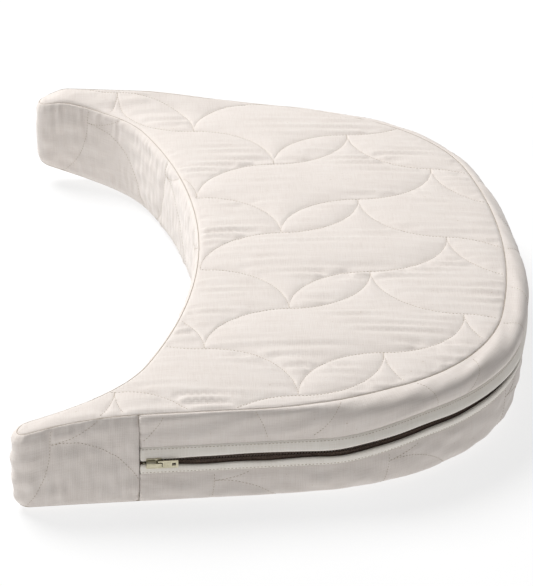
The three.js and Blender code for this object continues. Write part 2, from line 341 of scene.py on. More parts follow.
def begin(name):
    """A new material: its node tree, and its surface shader ready to be set."""
    made = bpy.data.materials.new(name)
    made.use_nodes = True
    return made, made.node_tree, made.node_tree.nodes["Principled BSDF"]


def colours(tree, factor, *stops):
    """A ramp over factor through (position, hex) stops."""
    ramp = add(tree, "ShaderNodeValToRGB", {"Fac": factor})
    while len(ramp.color_ramp.elements) < len(stops):
        ramp.color_ramp.elements.new(0.5)
    for element, (position, code) in zip(ramp.color_ramp.elements, stops):
        element.position = position
        element.color = linear(code)
    return ramp.outputs["Color"]


def latex_foam():
    """Latex foam, moulded: open cells a millimetre or two across give a matt, pitted face."""
    made, tree, shader = begin("latex_foam_moulded")
    place = add(tree, "ShaderNodeTexCoord").outputs["Object"]
    cells = add(tree, "ShaderNodeTexVoronoi", {"Vector": place, "Scale": 450.0})
    blotch = add(tree, "ShaderNodeTexNoise", {"Vector": place, "Scale": 30.0, "Detail": 4.0})
    tint = colours(tree, blotch.outputs["Fac"], (0.3, "#efe4c8"), (0.7, "#f7f0dc"))
    bump = add(tree, "ShaderNodeBump", {
        "Height": cells.outputs["Distance"], "Strength": 0.5, "Distance": 0.0006})
    tree.links.new(tint, shader.inputs["Base Color"])
    tree.links.new(bump.outputs["Normal"], shader.inputs["Normal"])
    shader.inputs["Roughness"].default_value = 0.9
    shader.inputs["IOR"].default_value = 1.5
    shader.inputs["Subsurface Weight"].default_value = 0.05
    shader.inputs["Subsurface Scale"].default_value = 0.003
    return made


CORE_DEPTH = 8
CORE_CORNER = 5
foam_core = rounded_block("foam_core_block", CORE_DEPTH, CORE_CORNER, 14)
foam_core.data.materials.append(latex_foam())
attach(foam_core, "pillow")
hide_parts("foam_core")

# ---- The core's liner ----
# A close bag of thin plain cotton sewn round the foam, so that the cover slides on easily.
# It lies a little outside the foam all over.
LINER_DEPTH = 6.4


def woven_cotton(name, light, mid, dark, thread=1.5, lift=0.00017, flecks=0.0):
    """Cotton in a plain weave, unbleached: soft and matt, with thicker threads here and there.
    Real threads are 0.4 mm apart; thread draws them coarser, so that the weave shows."""
    made, tree, shader = begin(name)
    flat = add(tree, "ShaderNodeUVMap", uv_map="cloth").outputs["UV"]
    waves = 2 * math.pi / 20 / (thread * MM)
    threads = []
    for way in ("X", "Y"):
        found = add(tree, "ShaderNodeTexWave", {
            "Vector": flat, "Scale": waves, "Distortion": 1.4, "Detail": 2.0,
            "Detail Scale": 0.6}, bands_direction=way)
        threads.append(found.outputs["Fac"])
    crossing = add(tree, "ShaderNodeMath", {0: threads[0], 1: threads[1]}, operation="MULTIPLY")
    slubs = []
    for stretch in ((1100, 45, 1), (45, 1100, 1)):
        long = add(tree, "ShaderNodeMapping", {"Vector": flat, "Scale": stretch})
        found = add(tree, "ShaderNodeTexNoise", {
            "Vector": long.outputs["Vector"], "Scale": 1.0, "Detail": 3.0, "Roughness": 0.6})
        slubs.append(found.outputs["Fac"])
    slub = add(tree, "ShaderNodeMath", {0: slubs[0], 1: slubs[1]}, operation="ADD")
    half = add(tree, "ShaderNodeMath", {0: slub.outputs[0], 1: 0.5}, operation="MULTIPLY")
    relief = add(tree, "ShaderNodeMath", {
        0: half.outputs[0], 1: 1.6, 2: crossing.outputs[0]}, operation="MULTIPLY_ADD")
    mottle = add(tree, "ShaderNodeTexNoise", {
        "Vector": flat, "Scale": 22.0, "Detail": 5.0, "Roughness": 0.6})
    shade = add(tree, "ShaderNodeMath", {
        0: mottle.outputs["Fac"], 1: 0.3, 2: half.outputs[0]}, operation="MULTIPLY_ADD")
    tint = colours(tree, shade.outputs[0], (0.42, dark), (0.62, mid), (0.85, light))
    if flecks:
        seeds = add(tree, "ShaderNodeTexNoise", {"Vector": flat, "Scale": 330.0, "Detail": 1.0})
        spread = add(tree, "ShaderNodeMapRange", {
            "Value": seeds.outputs["Fac"], "From Min": 0.74, "From Max": 0.82, "To Max": flecks})
        tint = add(tree, "ShaderNodeMixRGB", {
            "Fac": spread.outputs["Result"], "Color1": tint,
            "Color2": linear("#a98f6c")}).outputs["Color"]
    bump = add(tree, "ShaderNodeBump", {
        "Height": relief.outputs[0], "Strength": 0.55, "Distance": lift})
    rough = add(tree, "ShaderNodeMapRange", {
        "Value": mottle.outputs["Fac"], "To Min": 0.84, "To Max": 0.96})
    tree.links.new(tint, shader.inputs["Base Color"])
    tree.links.new(rough.outputs["Result"], shader.inputs["Roughness"])
    tree.links.new(bump.outputs["Normal"], shader.inputs["Normal"])
    shader.inputs["IOR"].default_value = 1.53
    shader.inputs["Specular IOR Level"].default_value = 0.3
    shader.inputs["Sheen Weight"].default_value = 0.25
    shader.inputs["Sheen Roughness"].default_value = 0.55
    return made


liner_cloth = woven_cotton("plain_cotton_woven_thin", "#f4efe6", "#ece5d9", "#e2d9ca", thread=1.2)
core_liner = rounded_block("core_liner_bag", LINER_DEPTH, CORE_CORNER + 1, 12)
core_liner.data.materials.append(liner_cloth)
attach(core_liner, "pillow")
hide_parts("core_liner_top", "core_liner_bottom", "core_liner_wall")

# ---- The quilted top panel ----
# Face cloth, wadding and lining sewn through together in rows of arcs that meet in points,
# so that the cloth stands up softly between the lines. Its edge turns down into the seam.
QUILT_COLUMN = 79       # across the pillow, from one node of the pattern to the next
QUILT_RISE = 72         # along it, over one column
QUILT_ROW = 154         # from one row of nodes to the next
QUILT_ORIGIN = (7, 7)
SANDWICH = 4.5          # thickness of the quilted layers
TURN_IN = ((3.5, -5.6), (1.0, -3.7), (-0.1, -1.6))   # (inset, level) of the seam allowance
LINE_STEP = 4.3         # between the mesh's points along a sewn line
LINE_SIDE = 1.8         # from a sewn line to the points beside it
ROW_STEP = 1.5          # between the points that a row of stitches follows
SHORTEST_ROW = 6        # a row with no more of those points than this is left out
CLOTH_STEPS = 20        # how long the cloth is left to swell
PANEL_SLACK = (1.008, 1.035, 1.0)
PANEL_PUFF = 4.0        # the furthest the cloth moves
REST_LEVEL = 0.4        # the underside's lowest places


def even(line, step):
    """The same line with points step apart."""
    length = np.r_[0, np.cumsum(np.linalg.norm(np.diff(line, axis=0), axis=1))]
    marks = np.linspace(0, length[-1], max(2, round(length[-1] / step) + 1))
    return np.c_[np.interp(marks, length, line[:, 0]), np.interp(marks, length, line[:, 1])]


def quilt_lines(origin=QUILT_ORIGIN):
    """The sewn lines on the flat cloth, in two families of waves, each one unbroken line."""
    turn = np.linspace(0, math.pi / 2, 25)
    upright = np.c_[1 - np.cos(turn), np.sin(turn)]     # leaves a node upright, arrives level
    level = np.c_[np.sin(turn), 1 - np.cos(turn)]       # leaves a node level, arrives upright
    lines = []
    for first in (0, -1):
        for row in range(-6, 7):
            parts = []
            for wave in (-1, 0, 1):
                column = first + 4 * wave
                step = row - 2 * wave
                for k, (shape, rise) in enumerate((
                        (upright, 1), (level, 1), (upright, 0), (level, 0))):
                    start_row = step - max(0, k - 2)
                    x = origin[0] + QUILT_COLUMN * (column + k)
                    y = origin[1] + QUILT_RISE * (column + k) + QUILT_ROW * start_row
                    climb = QUILT_RISE if rise else QUILT_RISE - QUILT_ROW
                    parts.append(shape * (QUILT_COLUMN, climb) + (x, y))
            lines.append(np.vstack(parts))
    return lines


def waves(along, across, crest, gap, seed, count=14):
    """Soft seeded wrinkles of about height 1, with crests about this long and this far apart."""
    rng = np.random.default_rng(seed)
    total = np.zeros(np.shape(along))
    for _ in range(count):
        a = rng.normal(0, 1) / crest
        b = rng.uniform(0.65, 1.5) / gap
        total = total + np.sin(2 * math.pi * (a * along + b * across) + rng.uniform(0, 2 * math.pi))
    return total / math.sqrt(count / 2)


def sewn_points(lines, keep):
    """Points on and beside the sewn lines, where keep says so. Also says which are on a line."""
    middle, sides = [], []
    for line in lines:
        line = even(line, LINE_STEP)
        slope = np.gradient(line, axis=0)
        slope /= np.linalg.norm(slope, axis=1, keepdims=True)
        normal = np.c_[-slope[:, 1], slope[:, 0]]
        middle.append(line)
        sides += [line + normal * LINE_SIDE, line - normal * LINE_SIDE]
    middle, sides = np.vstack(middle), np.vstack(sides)
    middle, sides = middle[keep(middle)], sides[keep(sides)]
    middle = spaced(middle, 1.5)
    sides = sides[distance(sides, middle) > 1.35]
    return middle, spaced(sides, 1.5)


def spaced(points, least):
    """Leaves out each point that lies too near one already kept."""
    tree = tree_of(points)
    dropped = set()
    for i, p in enumerate(points):
        if i not in dropped:
            dropped |= {j for _, j, _ in tree.find_range((p[0], p[1], 0), least) if j > i}
    return points[[i for i in range(len(points)) if i not in dropped]]


def puff(piece, held, slack, pressure, cap):
    """Lets the cloth swell and buckle as cloth does. held points stay; slack is how much longer
    the cut cloth is than the space it is sewn into, along x, y and z."""
    rest = np.zeros(len(piece.data.vertices) * 3)
    piece.data.vertices.foreach_get("co", rest)
    rest = rest.reshape(-1, 3)
    group = piece.vertex_groups.new(name="held")
    group.add([int(i) for i in held], 1.0, "REPLACE")
    piece.shape_key_add(name="sewn")
    cut = piece.shape_key_add(name="cut")
    cut.data.foreach_set("co", (rest * slack).ravel())
    cloth = piece.modifiers.new("cloth", "CLOTH")
    settings = cloth.settings
    settings.quality = 6
    settings.mass = 0.2
    settings.tension_stiffness = 20
    settings.compression_stiffness = 20
    settings.shear_stiffness = 8
    settings.bending_stiffness = 0.08
    settings.air_damping = 3
    settings.vertex_group_mass = "held"
    settings.rest_shape_key = cut
    settings.use_pressure = True
    settings.uniform_pressure_force = pressure
    settings.effector_weights.gravity = 0
    cloth.collision_settings.use_collision = False
    cloth.point_cache.frame_start = 1
    cloth.point_cache.frame_end = CLOTH_STEPS
    for step in range(1, CLOTH_STEPS + 1):
        bpy.context.scene.frame_set(step)
    graph = bpy.context.evaluated_depsgraph_get()
    swollen = piece.evaluated_get(graph)
    moved = np.zeros(len(rest) * 3)
    swollen.data.vertices.foreach_get("co", moved)
    moved = moved.reshape(-1, 3)
    piece.modifiers.clear()
    piece.shape_key_clear()
    piece.vertex_groups.clear()
    shift = moved - rest
    size = np.linalg.norm(shift, axis=1, keepdims=True)
    shift *= np.minimum(1, cap * MM / np.maximum(size, 1e-9))
    return (rest + shift) / MM


def set_points(piece, points):
    piece.data.vertices.foreach_set("co", (np.asarray(points) * MM).ravel())
    piece.data.update()


def get_points(piece):
    found = np.zeros(len(piece.data.vertices) * 3)
    piece.data.vertices.foreach_get("co", found)
    return found.reshape(-1, 3) / MM


def finished(piece):
    """One subdivision, then thickness: lining inside, wadding at the cut edges."""
    smooth = piece.modifiers.new("soften", "SUBSURF")
    smooth.levels = 1
    smooth.render_levels = 1
    baked(piece)
    thick = piece.modifiers.new("layers", "SOLIDIFY")
    thick.thickness = SANDWICH * MM
    thick.offset = -1
    thick.material_offset = 1
    thick.material_offset_rim = 2
    for material in (cover_cloth, lining_cloth, wadding_fibre):
        piece.data.materials.append(material)
    baked(piece)
    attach(piece, "pillow")


def quilted_panel(name, up, spacing, wrinkle, seed, pressure):
    """The top or the bottom panel. Returns the piece and its sewn lines."""
    walk = np.arange(0, ROUND, 4.2)
    here = around(walk)
    x, y = here[:, 0], here[:, 1]
    seam = (top_inset if up else under_inset)(x)
    level = (top_level if up else under_level)(x, y)
    way = 1 if up else -1
    edge = here[:, :2] - here[:, 2:] * (seam + 0.5)[:, None]
    rims = [1.6, 3.4, 6.2]
    inner = ring(walk, seam + rims[-1], 0)[:, :2]
    lines = quilt_lines()
    middle, sides = sewn_points(lines, lambda p: (abs(p[:, 0]) < 260) & (abs(p[:, 1]) < 360))
    flat, triangles = filled(inner, spacing, np.vstack([middle, sides]), spacing * 0.62)
    rows = [ring(walk, seam + depth, level + way * fall) for depth, fall in TURN_IN]
    rows.append(ring(walk, seam + 0.45, level + way * 0.1))
    rows += [ring(walk, seam + depth, 0) for depth in rims[:-1]]
    fixed = len(TURN_IN) + 1
    outer = np.vstack(rows)
    cap = np.c_[flat, np.zeros(len(flat))]
    points = np.vstack([outer, cap])
    faces = strips(len(rows) + 1, len(walk), closed=True, flip=not up)
    base = len(outer)
    for a, b, c in triangles:
        tri = (base + a, base + b, base + c)
        faces.append(tri if up else tri[::-1])
    free = np.arange(len(points)) >= fixed * len(walk)
    px, py = points[:, 0], points[:, 1]
    depth = distance(points, edge)
    sewn = distance(points, middle)
    if up:
        swell = 2.8 * (1 - np.exp(-depth / 9)) + 1.8 * ease(depth / 100)
        swell += 0.7 * np.exp(-((depth - 3) / 2.4) ** 2)
        height = top_level(px, py) + swell
    else:
        swell = 3.9 * (1 - np.exp(-depth / 5))
        height = under_level(px, py) - swell
    loose = ease(sewn / 9) * ease(depth / 8)
    patch = 0.8 + 0.35 * waves(px, py, 160, 120, seed + 1, 6)
    creases = waves(px, py, 260, 12, seed) * np.clip(patch, 0.4, 1.3)
    groove = np.exp(-(sewn / 1.5) ** 2) * ease(depth / 3)
    lift = wrinkle * creases * loose - 1.5 * groove + 0.9 * ease(sewn / 22) * ease(depth / 10)
    points[free, 2] = (height + way * lift)[free]
    if not up:
        points[free, 2] = np.maximum(points[free, 2], REST_LEVEL)
    piece = make(name, points, faces, points[:, :2])
    held = np.where(~free | (sewn < 0.6) | (depth < 3))[0]
    if pressure:
        set_points(piece, puff(piece, held, PANEL_SLACK, pressure, PANEL_PUFF))
    return piece, lines


cover_cloth = woven_cotton("natural_cotton_woven", "#ebe4de", "#e5dcd5", "#dad0c8", flecks=0.5)
lining_cloth = woven_cotton("cotton_lining_woven", "#f2ece2", "#e9e1d5", "#ddd3c4", thread=1.2)


def carded_fibre():
    """Cotton wadding, carded: loose white fibres that lie all ways, quite matt."""
    made, tree, shader = begin("cotton_wadding_carded")
    place = add(tree, "ShaderNodeTexCoord").outputs["Object"]
    hairs = add(tree, "ShaderNodeTexNoise", {
        "Vector": place, "Scale": 700.0, "Detail": 6.0, "Distortion": 2.0})
    tint = colours(tree, hairs.outputs["Fac"], (0.35, "#e9e4d8"), (0.65, "#f8f5ee"))
    bump = add(tree, "ShaderNodeBump", {
        "Height": hairs.outputs["Fac"], "Strength": 0.7, "Distance": 0.0008})
    tree.links.new(tint, shader.inputs["Base Color"])
    tree.links.new(bump.outputs["Normal"], shader.inputs["Normal"])
    shader.inputs["Roughness"].default_value = 1.0
    shader.inputs["Sheen Weight"].default_value = 0.4
    shader.inputs["IOR"].default_value = 1.5
    return made


wadding_fibre = carded_fibre()
top_panel, top_lines = quilted_panel("quilted_top_panel", True, 6.8, 1.0, 11, 1.6)
finished(top_panel)
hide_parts("top_panel_cloth", "top_panel_wadding", "top_panel_lining")

# ---- The quilted bottom panel ----
# The same sandwich as the top, face down. It is flat where the pillow rests, and its edge
# rises to the bottom seam.
bottom_panel, bottom_lines = quilted_panel("quilted_bottom_panel", False, 7.5, 0.3, 12, 0)
finished(bottom_panel)
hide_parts("bottom_panel_cloth", "bottom_panel_wadding", "bottom_panel_lining")

# ---- The inner border ----
# One quilted strip from one zip end round the tips and the hollow to the other zip end.
# It is eased onto the panels, so it gathers in small upright folds under the top seam.
seam_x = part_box("upper_band_cloth")[0].x / MM
flank = (OUTLINE[:, 3] > 0.9) & (WALKED < ROUND / 2) & (OUTLINE[:, 0] < 0)
ZIP_END = float(np.interp(-seam_x, -OUTLINE[flank, 0], WALKED[flank]))
WALL_STEP = 2.7
WALL_PRESSURE = 1.2
WALL_PUFF = 3.0         # the furthest a wall's cloth moves
ZIP_RISE = 11           # the zip is pulled up round the back, where the upper band rolls in
RISE_TURN = 0.5         # over this much turn of the shoulder, in radians


def zip_rise(walk):
    """How far the zip is pulled up at each place round the outline."""
    out = around(np.append(walk, ZIP_END))[:, 2:]
    angle = np.arctan2(abs(out[:, 1]), out[:, 0])
    return ZIP_RISE * ease((angle[-1] - angle[:-1]) / RISE_TURN)


def curve(p0, p1, p2, p3, count):
    """A bend through four control points of (inset, level) at each station."""
    t = np.linspace(0, 1, count)[None, :, None]
    p0, p1, p2, p3 = (np.stack(np.broadcast_arrays(*p), -1)[:, None, :] for p in (p0, p1, p2, p3))
    return (1 - t) ** 3 * p0 + 3 * (1 - t) ** 2 * t * p1 + 3 * (1 - t) * t ** 2 * p2 + t ** 3 * p3


def laid(walk, profile):
    """Puts a profile of (inset, level), for each station, round the outline."""
    here = around(walk)[:, None, :]
    flat = here[..., :2] - here[..., 2:] * profile[..., :1]
    return np.concatenate([flat, profile[..., 1:]], -1)


def outward(points):
    """Which way each point of a wall's grid faces."""
    along = np.gradient(points, axis=0)
    down = np.gradient(points, axis=1)
    way = np.cross(down, along)
    return way / np.maximum(np.linalg.norm(way, axis=-1, keepdims=True), 1e-9)


def wall_rows(lines, walk, profile, height, facing, turned):
    """A wall's sewn lines as rows for the stitches: points above it, and the ways to it."""
    rows = height.shape[1]
    top, foot = turned
    found = []
    for line in lines:
        line = even(line, ROW_STEP)
        station = np.interp(line[:, 1], walk, np.arange(len(walk)), -1, -1)
        here = station.round().astype(int)
        tops = height[here, top] + 2
        feet = height[here, rows - 1 - foot] - 2
        inside = (station > 0.5) & (-line[:, 0] > tops) & (-line[:, 0] < feet)
        cuts = np.where(np.diff(inside.astype(int)))[0] + 1
        for part, at, shown in zip(np.split(line, cuts), np.split(here, cuts), np.split(inside, cuts)):
            if shown[0] and len(part) > SHORTEST_ROW:
                places = list(zip(-part[:, 0], at))
                row = np.array([np.interp(x, height[i], np.arange(rows)) for x, i in places])
                way = facing[at, row.round().astype(int)]
                inset = np.array([np.interp(x, height[i], profile[i, :, 0]) for x, i in places])
                level = np.array([np.interp(x, height[i], profile[i, :, 1]) for x, i in places])
                spot = around(part[:, 1])
                skin = np.c_[spot[:, :2] - spot[:, 2:] * inset[:, None], level]
                found.append((skin + 6 * way, -way))
    return found


def quilted_wall(name, walk, profile, origin, seed, gather, groove, turned, slack=None):
    """A strip of the side wall. turned rows lie hidden in the seams above and below. Returns
    the piece, and its sewn lines as rows for the stitches."""
    points = laid(walk, profile)
    facing = outward(points)
    run = np.linalg.norm(np.diff(profile, axis=1), axis=-1)
    height = np.c_[np.zeros(len(walk)), np.cumsum(run, axis=1)]
    along = np.broadcast_to(walk[:, None], height.shape)
    cloth = np.stack([along, -height], -1)
    pattern = np.stack([-height, along], -1).reshape(-1, 2)
    lines = quilt_lines(origin)
    near = np.vstack([even(line, ROW_STEP) for line in lines])
    low, high = pattern.min(0) - 20, pattern.max(0) + 20
    near = near[((near > low) & (near < high)).all(1)]
    sewn = distance(pattern, near).reshape(height.shape)
    rows = height.shape[1]
    top, foot = turned
    depth = np.minimum(height - height[:, top:top + 1], height[:, rows - 1 - foot, None] - height)
    depth = np.clip(depth, 0, None)
    ends = np.minimum(along - walk[0], walk[-1] - along)
    lift = 0.75 * groove * ease(sewn / 16) * ease(depth / 8)
    lift -= groove * np.exp(-(sewn / 1.7) ** 2)
    lift += gather * waves(-height, along, 90, 9, seed) * np.exp(-depth / 20) * ease(depth / 7)
    lift += 0.35 * gather * waves(-height, along, 60, 16, seed + 1) * ease(depth / 10)
    lift += 0.5 * waves(along, height, 70, 26, seed + 2) * ease(depth / 9)
    lift *= ease(depth / 1.5)
    fold = np.exp(-(ends / 1.1) ** 2)
    pucker = waves(along, height, 40, 8, seed + 3) * np.exp(-ends / 7) * 0.5
    lift = lift + (pucker - 1.3 * fold) * ease(depth / 2)
    points = points + facing * lift[..., None]
    piece = make(name, points.reshape(-1, 3), strips(len(walk), rows), cloth.reshape(-1, 2))
    if slack:
        fixed = (depth < 1.5) | (sewn < 1.2) | (ends < 2)
        held = np.where(fixed.ravel())[0]
        set_points(piece, puff(piece, held, slack, WALL_PRESSURE, WALL_PUFF))
    return piece, wall_rows(lines, walk, profile, height, facing, turned)


def tucked(profile, top, foot):
    """Adds the seam allowance above and below a profile, turned in under the panel's edge."""
    first, last = profile[:, :1], profile[:, -1:]
    above = [first + (4.5, -1.2), first + (2.6, -0.6), first + (1.0, -0.2)] if top else []
    below = [last + (1.0, 0.2), last + (2.6, 0.6), last + (4.5, 1.2)] if foot else []
    return np.concatenate(above + [profile] + below, 1)


BORDER_BULGE = 4
stations = int((ROUND - 2 * ZIP_END) / WALL_STEP)
border_walk = np.linspace(ZIP_END + 0.1, ROUND - ZIP_END - 0.1, stations)
place = around(border_walk)
roof = top_level(place[:, 0], place[:, 1])
floor = under_level(place[:, 0], place[:, 1])
bulge = -BORDER_BULGE * (1 - 0.7 * tip_reach(place[:, 0]) * (place[:, 1] > 0))
border_profile = curve(
    (top_inset(place[:, 0]), roof), (bulge, roof + 3.0),
    (bulge, floor + 4), (under_inset(place[:, 0]), floor), 25)
inner_border, border_rows = quilted_wall(
    "quilted_inner_border", border_walk, tucked(border_profile, 3, 3),
    (-21, ROUND - ZIP_END - 76 - 4 * QUILT_ROW), 21, 0.6, 1.0, (3, 3), (1.03, 1.03, 1.0))
finished(inner_border)
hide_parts("inner_border_cloth", "inner_border_wadding", "inner_border_lining")

# ---- The two bands of the back ----
# Quilted strips above and below the zip, from one end of it to the other. The upper one rolls
# over the foam's edge at the back and stands out beyond the top seam; the lower one tucks under.
ZIP_LEVEL = 46          # the middle of the zip along the flanks
HALF_OPEN = 2.3
UPPER_FOOT = ZIP_LEVEL + HALF_OPEN + 12.5
LOWER_HEAD = ZIP_LEVEL - HALF_OPEN - 9
band_walk = np.linspace(-ZIP_END + 0.1, ZIP_END - 0.1, int(2 * ZIP_END / WALL_STEP))
place = around(band_walk)
full = fullness(place[:, 0])
roof = top_level(place[:, 0], place[:, 1])
rise = zip_rise(band_walk)
slim = full * ease((place[:, 1] + 120) / 170)
upper_profile = curve(
    (top_inset(place[:, 0]), roof), (-2 - 2 * full + 13 * slim, roof + 2.4 - slim),
    (-2.5 - 5.5 * full + 9 * slim, roof - 16 + 0.4 * rise),
    (-0.2 + 0 * full, UPPER_FOOT + 0.2 + rise), 20)
upper_band, upper_rows = quilted_wall(
    "quilted_upper_band", band_walk, tucked(upper_profile, 3, 0), (30, 60), 31, 0.12, 0.35, (3, 0))
finished(upper_band)
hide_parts("upper_band_cloth", "upper_band_wadding", "upper_band_lining")

floor = under_level(place[:, 0], place[:, 1])
lower_profile = curve(
    (0.5 + 0 * full, LOWER_HEAD - 0.2 + rise), (-0.6 - 1.2 * full, 24 + 0.7 * rise),
    (-1.4 + 0.6 * full, floor + 0.5), (under_inset(place[:, 0]), floor), 20)
lower_band, lower_rows = quilted_wall(
    "quilted_lower_band", band_walk, tucked(lower_profile, 0, 3), (-10, 95), 41, 0.12, 0.35, (0, 3))
finished(lower_band)
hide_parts("lower_band_cloth", "lower_band_wadding", "lower_band_lining")

# ---- The zip's facings ----
# Plain cotton strips folded double along the zip, one above and one below it. Each hides its
# tape and is top-stitched near the edge that joins the band. They part most beside the slider.
MORE_OPEN = 1.2


def swept(name, walk, section):
    """Sweeps a closed section of (inset, level) along the outline, and caps both ends."""
    count = section.shape[1]
    points = laid(walk, section)
    run = np.linalg.norm(np.diff(section, axis=1, append=section[:, :1]), axis=-1)
    height = np.c_[np.zeros(len(walk)), np.cumsum(run, axis=1)[:, :-1]]
    cloth = np.stack([np.broadcast_to(walk[:, None], height.shape), height], -1)
    faces = strips(len(walk), count, closed=True, flip=True)
    faces.append(tuple(range(count)))
    faces.append(tuple(range((len(walk) - 1) * count, len(walk) * count))[::-1])
    return make(name, points.reshape(-1, 3), faces, cloth.reshape(-1, 2))


def opening(walk):
    """Half the gap between the facings: narrow at both ends, widest next to the slider."""
    from_near = walk + ZIP_END
    wide = ease((from_near - 14) / 40) * (1 - ease((from_near - 190) / 200))
    close = 1.0 * ease((from_near - 330) / 200)
    ends = 1.3 * (1 - ease(np.minimum(from_near, 2 * ZIP_END - from_near) / 16))
    return HALF_OPEN + MORE_OPEN * wide - close - ends


zip_walk = np.linspace(-ZIP_END + 0.3, ZIP_END - 0.3, 560)
zip_full = fullness(around(zip_walk)[:, 0])
zip_lift = zip_rise(zip_walk)
facing_cotton = woven_cotton("plain_cotton_woven_folded", "#f8f3ec", "#f2ece3", "#e8e0d5",
                             thread=1.3, lift=0.00014)
for name, way, outer_edge in (("upper", 1, UPPER_FOOT), ("lower", -1, LOWER_HEAD)):
    gap = opening(zip_walk) + 0.25 * waves(zip_walk, zip_walk, 200, 90, 51 + way, 6)
    gap = np.maximum(gap, 0.5)
    inner_level = ZIP_LEVEL + way * gap
    hang = (1.6 if way > 0 else 0.2) * zip_full
    belly = 1.2 + 0.6 * ease((zip_walk + ZIP_END - 165) / 60)
    section = []
    for share, proud, side in ((0.0, 0.0, 1), (0.04, 0.65, 1), (0.12, 1.0, 1), (0.3, 1.0, 1),
                               (0.5, 1.0, 1), (0.7, 1.0, 1), (0.86, 0.9, 1), (0.95, 0.55, 1),
                               (1.0, 0.1, 1), (1.0, 0.0, 0), (0.5, 0.0, 0), (0.1, 0.0, 0)):
        level = inner_level + (outer_edge + way * 0.3 - inner_level) * share
        stand = 0.3 - 1.5 * proud if side else 0.45 + 0 * share
        stand = stand - (belly - 0.5) * proud * math.sin(math.pi * min(1, share + 0.2)) * side
        section.append(np.c_[stand - hang * (1 - share) * (side * 0.7 + 0.3), level + zip_lift])
    section = np.stack(section, 1)
    if way < 0:
        section = section[:, ::-1]
    facing = swept(f"{name}_facing_strip", zip_walk, section)
    smooth = facing.modifiers.new("soften", "SUBSURF")
    smooth.levels = smooth.render_levels = 1
    baked(facing)
    facing.data.materials.append(facing_cotton)
    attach(facing, "pillow")
    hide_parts(f"{name}_zip_facing")

# ---- The zip's tapes ----
# Brown polyester tape woven with fine ribs across it, one on each side of the chain, sewn
# behind the facings.
TAPE_INSET = 2.1
TAPE_THICK = 0.6


def woven_tape():
    """Polyester tape, woven: fine ribs across it with a slight gleam. The ribs are drawn 1 mm
    apart where real ones are half that."""
    made, tree, shader = begin("polyester_tape_woven")
    flat = add(tree, "ShaderNodeUVMap", uv_map="cloth").outputs["UV"]
    ribs = add(tree, "ShaderNodeTexWave", {
        "Vector": flat, "Scale": 2 * math.pi / 20 / (1.0 * MM), "Distortion": 0.8})
    grain = add(tree, "ShaderNodeTexNoise", {"Vector": flat, "Scale": 500.0, "Detail": 3.0})
    mixed = add(tree, "ShaderNodeMath", {
        0: ribs.outputs["Fac"], 1: 0.5, 2: grain.outputs["Fac"]}, operation="MULTIPLY_ADD")
    tint = colours(tree, mixed.outputs[0], (0.35, "#4e3d33"), (0.7, "#6e5a4e"), (1.1, "#84705f"))
    bump = add(tree, "ShaderNodeBump", {
        "Height": ribs.outputs["Fac"], "Strength": 0.5, "Distance": 0.0002})
    tree.links.new(tint, shader.inputs["Base Color"])
    tree.links.new(bump.outputs["Normal"], shader.inputs["Normal"])
    shader.inputs["Roughness"].default_value = 0.7
    shader.inputs["IOR"].default_value = 1.57
    shader.inputs["Sheen Weight"].default_value = 0.15
    return made


tape_material = woven_tape()
for name in ("upper", "lower"):
    way = 1 if name == "upper" else -1
    low_z, high_z = sorted((ZIP_LEVEL + way * 0.8, ZIP_LEVEL + way * 11.3))
    section = np.array([
        (TAPE_INSET + 0.1, low_z), (TAPE_INSET, low_z + 0.3), (TAPE_INSET, (low_z + high_z) / 2),
        (TAPE_INSET, high_z - 0.3), (TAPE_INSET + 0.1, high_z), (TAPE_INSET + TAPE_THICK, high_z),
        (TAPE_INSET + TAPE_THICK, low_z)])
    section = section[None] + np.stack([0 * zip_lift, zip_lift], -1)[:, None]
    tape = swept(f"{name}_tape", zip_walk, section)
    tape.data.materials.append(tape_material)
    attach(tape, "pillow")
    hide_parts(f"{name}_zip_tape")

# ---- The zip's coils ----
# One nylon wire wound flat along each tape; the turns of one side sit between the other's.
# Real turns are 1.3 mm apart; they are wound at 2.6 mm, to keep the mesh light.
COIL_PITCH = 2.6
COIL_WIRE = 0.36
COIL_SIDES = 6
COIL_OUT = 0.6 + COIL_WIRE   # how far inside the wall the wire's outer and inner runs lie
COIL_IN = 1.8 - COIL_WIRE


def dyed_nylon():
    """Nylon wire, drawn and dyed in the mass: smooth, with a soft plastic gleam."""
    made, tree, shader = begin("nylon_wire_drawn")
    place = add(tree, "ShaderNodeTexCoord").outputs["Object"]
    drift = add(tree, "ShaderNodeTexNoise", {"Vector": place, "Scale": 260.0, "Detail": 2.0})
    tint = colours(tree, drift.outputs["Fac"], (0.3, "#4a392f"), (0.7, "#5f4b3f"))
    bump = add(tree, "ShaderNodeBump", {
        "Height": drift.outputs["Fac"], "Strength": 0.2, "Distance": 0.0001})
    tree.links.new(tint, shader.inputs["Base Color"])
    tree.links.new(bump.outputs["Normal"], shader.inputs["Normal"])
    shader.inputs["Roughness"].default_value = 0.42
    shader.inputs["IOR"].default_value = 1.53
    return made


def wire(path, radius, sides):
    """Points and faces of a round wire along a line of points. radius may change along it."""
    slope = np.gradient(path, axis=0)
    slope /= np.linalg.norm(slope, axis=1, keepdims=True)
    out = np.cross(slope, (0, 0, 1.0))
    weak = np.linalg.norm(out, axis=1) < 0.2
    out[weak] = np.cross(slope[weak], (0.3, 1.0, 0))
    out /= np.linalg.norm(out, axis=1, keepdims=True)
    up = np.cross(out, slope)
    turn = np.linspace(0, 2 * math.pi, sides, endpoint=False)
    round_it = np.cos(turn)[None, :, None] * out[:, None] + np.sin(turn)[None, :, None] * up[:, None]
    points = path[:, None] + np.reshape(radius, (-1, 1, 1)) * round_it
    faces = strips(len(path), sides, closed=True, flip=True)
    faces.append(tuple(range(sides)))
    faces.append(tuple(range((len(path) - 1) * sides, len(path) * sides))[::-1])
    return points.reshape(-1, 3), faces


